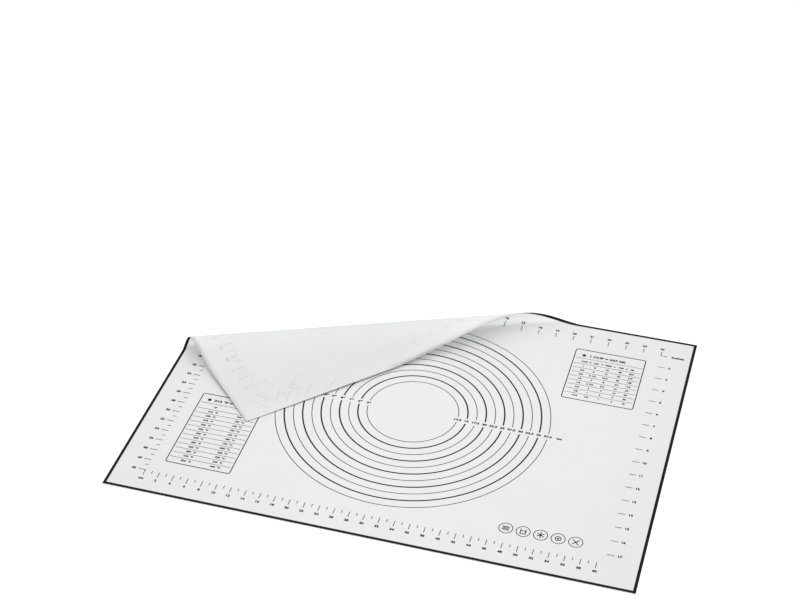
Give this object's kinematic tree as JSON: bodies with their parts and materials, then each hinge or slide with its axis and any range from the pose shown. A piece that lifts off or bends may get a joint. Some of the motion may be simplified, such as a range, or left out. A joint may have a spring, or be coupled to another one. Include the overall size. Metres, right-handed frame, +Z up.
{
  "type": "silicone baking mat",
  "caption": "Thin rectangular silicone baking and rolling mat with printed rulers, size rings and conversion tables, lying flat with one back corner folded over.",
  "frame": {"origin": "middle of the underside, where the mat rests on the table", "axes": "+X along the front edge to the right, +Y from the front edge to the back, +Z up"},
  "size_m": [0.7, 0.5001, 0.0318],
  "materials": {
    "silicone": "matte, slightly satin, translucent white silicone",
    "print": "matte black silicone ink"
  },
  "bodies": {
    "root": {"back_inch_ruler": "print", "border_band": "print", "front_centimetre_ruler": "print", "heat_table_frame": "print", "heat_table_rules": "print", "left_centimetre_ruler": "print", "right_inch_ruler": "print", "silicone_sheet": "silicone", "size_ring_125": "print", "size_ring_150": "print", "size_ring_175": "print", "size_ring_200": "print", "size_ring_225": "print", "size_ring_250": "print", "size_ring_275": "print", "size_ring_300": "print", "size_ring_325": "print", "size_ring_350": "print", "size_ring_375": "print", "volume_table_frame": "print", "volume_table_rules": "print"}
  },
  "joints": []
}
